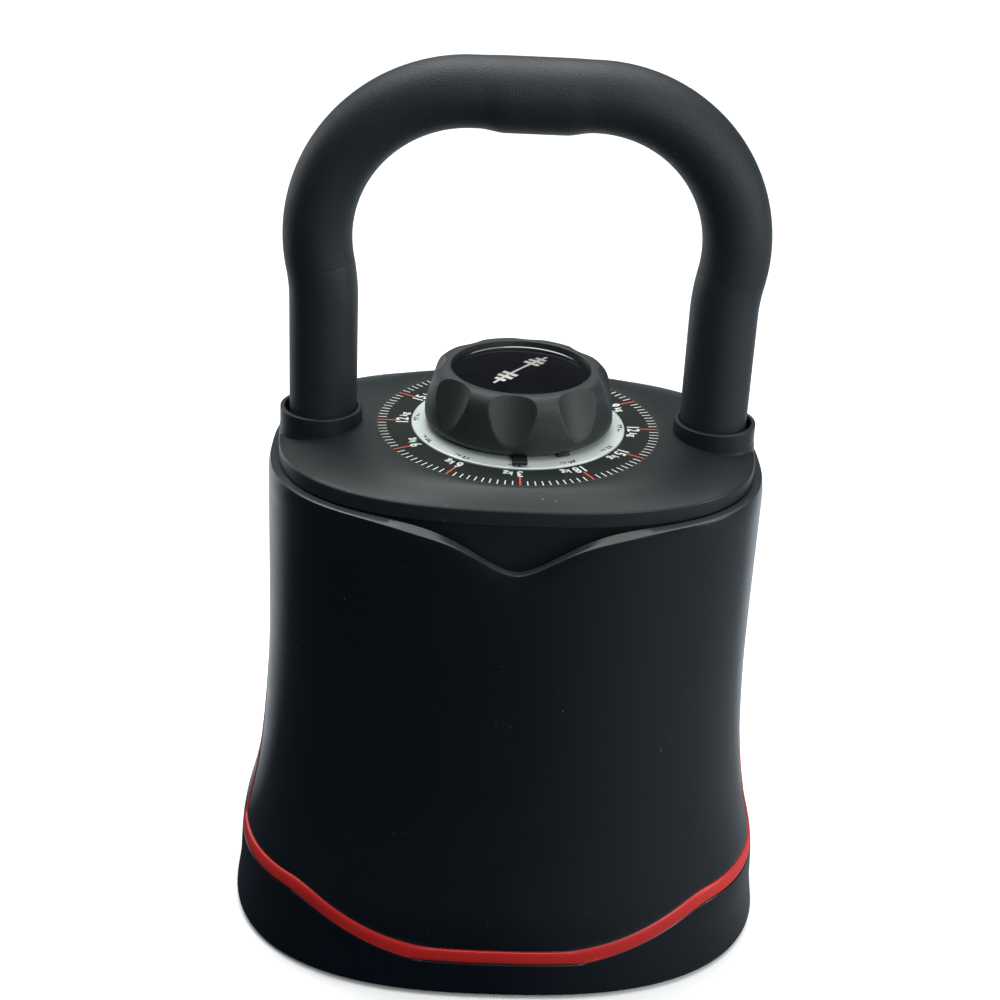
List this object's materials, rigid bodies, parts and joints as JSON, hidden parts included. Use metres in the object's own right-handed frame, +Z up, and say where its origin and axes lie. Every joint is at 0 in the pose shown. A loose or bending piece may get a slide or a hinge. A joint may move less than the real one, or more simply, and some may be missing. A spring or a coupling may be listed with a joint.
{
  "type": "adjustable kettlebell",
  "caption": "Dial-adjustable kettlebell with a tube handle and hollow body, docked on its own tray; the dial picks how many of the stacked plates lift with the handle.",
  "frame": {"origin": "centre of the tray's footprint, on the surface that its feet stand on", "axes": "+Z up along the spindle, +X along the handle to the right, -Y to the front, where the pointer reads at its lowest setting"},
  "size_m": [0.269, 0.2036, 0.4308],
  "materials": {
    "cover_plastic": "satin",
    "shell_plastic": "satin",
    "tray_plastic": "satin",
    "red_plastic": "satin",
    "soft_grip": "matte",
    "knob_plastic": "satin",
    "black_gloss": "gloss",
    "scale_print": "matte",
    "silver_print": "satin",
    "steel": "satin",
    "zinc_steel": "satin",
    "bronze": "satin",
    "nylon": "matte",
    "weight_skin": "matte",
    "weight_fill": "matte",
    "foot_rubber": "matte"
  },
  "bodies": {
    "base": {"base_tray": "tray_plastic", "edge_band": "red_plastic", "release_post": "zinc_steel", "feet": "foot_rubber"},
    "plate_5": {"plate_skin_5": "weight_skin", "plate_fill_5": "weight_fill", "plate_hub_5": "steel"},
    "plate_4": {"plate_skin_4": "weight_skin", "plate_fill_4": "weight_fill", "plate_hub_4": "steel"},
    "plate_3": {"plate_skin_3": "weight_skin", "plate_fill_3": "weight_fill", "plate_hub_3": "steel"},
    "plate_2": {"plate_skin_2": "weight_skin", "plate_fill_2": "weight_fill", "plate_hub_2": "steel"},
    "plate_1": {"plate_skin_1": "weight_skin", "plate_fill_1": "weight_fill", "plate_hub_1": "steel"},
    "handle_unit": {"top_cover": "cover_plastic", "outer_shell": "shell_plastic", "handle_tube": "steel", "grip_sleeve": "soft_grip", "leg_sleeves": "soft_grip", "leg_inserts": "steel", "handle_bolts": "zinc_steel", "handle_washers": "zinc_steel", "carrier_plate": "steel", "carrier_screws": "zinc_steel", "shell_screws": "zinc_steel", "spindle_bushing": "bronze", "weight_scale": "scale_print", "pound_ring": "silver_print", "detent_bridge": "nylon", "detent_springs": "zinc_steel", "lock_spring": "zinc_steel"},
    "dial": {"knob": "knob_plastic", "knob_cap": "black_gloss", "pointer": "black_gloss", "knob_screw": "zinc_steel", "spindle": "steel", "drive_key": "steel", "detent_wheel": "zinc_steel", "cam_1": "zinc_steel", "cam_2": "zinc_steel", "cam_3": "zinc_steel", "cam_4": "zinc_steel", "cam_5": "zinc_steel", "cam_spacers": "nylon", "spindle_washer": "zinc_steel", "spindle_nut": "zinc_steel"},
    "detent": {"detent_balls": "steel"},
    "lock": {"lock_rod": "steel"}
  },
  "joints": [
    {"name": "lift_18_kg", "type": "slide", "parent": "base", "child": "plate_5", "axis": [0, 0, 1], "range_m": [0, 0.25]},
    {"name": "lift_15_kg", "type": "slide", "parent": "plate_5", "child": "plate_4", "axis": [0, 0, 1], "range_m": [0, 0.25]},
    {"name": "lift_12_kg", "type": "slide", "parent": "plate_4", "child": "plate_3", "axis": [0, 0, 1], "range_m": [0, 0.25]},
    {"name": "lift_9_kg", "type": "slide", "parent": "plate_3", "child": "plate_2", "axis": [0, 0, 1], "range_m": [0, 0.25]},
    {"name": "lift_6_kg", "type": "slide", "parent": "plate_2", "child": "plate_1", "axis": [0, 0, 1], "range_m": [0, 0.25]},
    {"name": "lift_3_kg", "type": "slide", "parent": "plate_1", "child": "handle_unit", "axis": [0, 0, 1], "range_m": [0, 0.25]},
    {"name": "dial_turn", "type": "hinge", "parent": "handle_unit", "child": "dial", "pos_m": [0, 0, 0.25], "axis": [0, 0, 1], "continuous": true},
    {"name": "detent_slide", "type": "slide", "parent": "handle_unit", "child": "detent", "axis": [0, 0, 1], "range_m": [0, 0.0016], "stiffness_N_per_m": 1500, "springref_m": -0.003, "deforming": ["detent_springs"]},
    {"name": "lock_slide", "type": "slide", "parent": "handle_unit", "child": "lock", "axis": [0, 0, 1], "range_m": [-0.006, 0], "deforming": ["lock_spring"]}
  ],
  "couplings": [
    {"joint": "lock_slide", "follows": "lift_3_kg", "ratio": -0.024}
  ]
}
